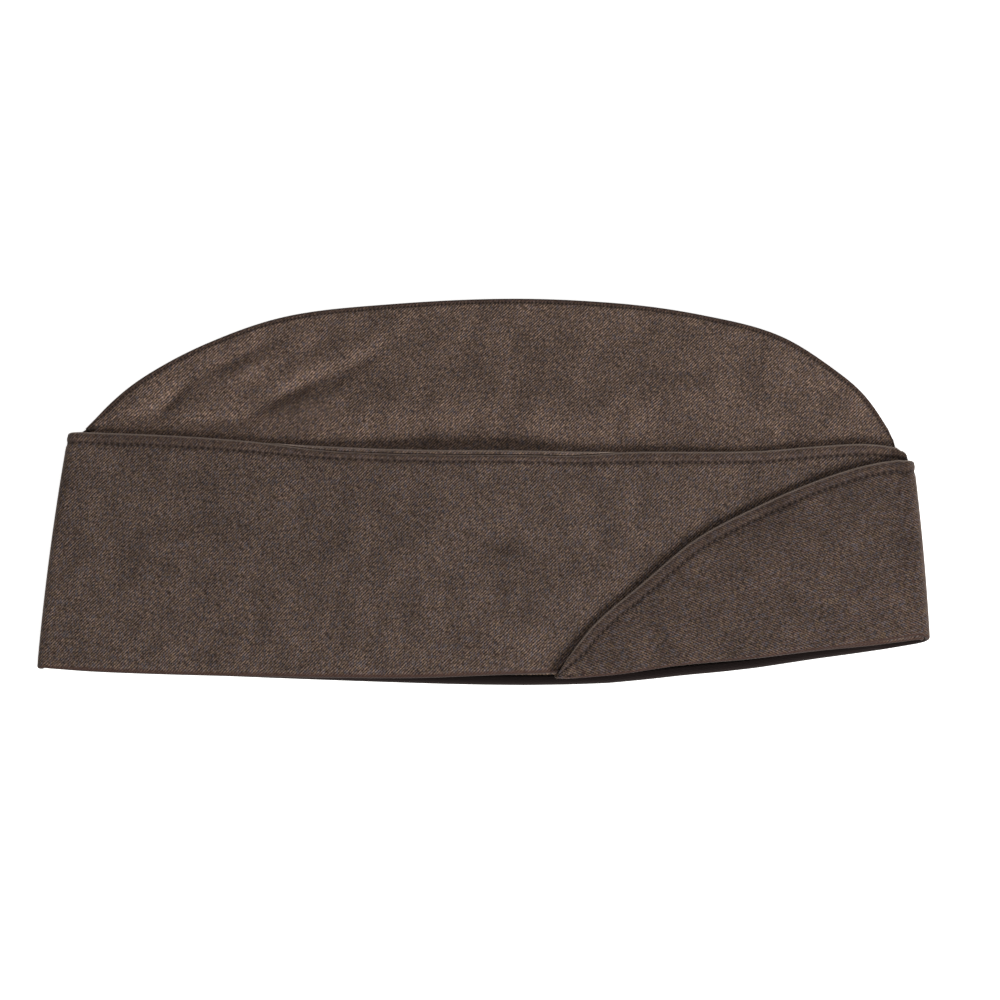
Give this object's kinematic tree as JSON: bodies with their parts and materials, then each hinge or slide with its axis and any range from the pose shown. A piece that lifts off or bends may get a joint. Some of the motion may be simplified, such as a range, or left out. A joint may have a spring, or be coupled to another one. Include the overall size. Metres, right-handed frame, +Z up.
{
  "type": "garrison cap",
  "caption": "Foldable cloth side cap with a ridged crown, a turned-up curtain and a curved front overlap, lying folded flat.",
  "frame": {"origin": "under the middle of the folded cap's box, on the surface that it lies on", "axes": "+X towards the cap's front, +Y towards the crown's ridge, +Z up through the folded cap to its right side"},
  "size_m": [0.288, 0.1284, 0.016],
  "materials": {
    "crown_cloth": "matte worsted twill, brown-grey melange",
    "curtain_cloth": "matte worsted twill, brown-grey melange, two plies top-stitched at the edge"
  },
  "bodies": {
    "root": {"left_curtain": "curtain_cloth", "right_curtain": "curtain_cloth", "left_crown_panel": "crown_cloth", "right_crown_panel": "crown_cloth", "top_gusset": "crown_cloth"}
  },
  "joints": []
}
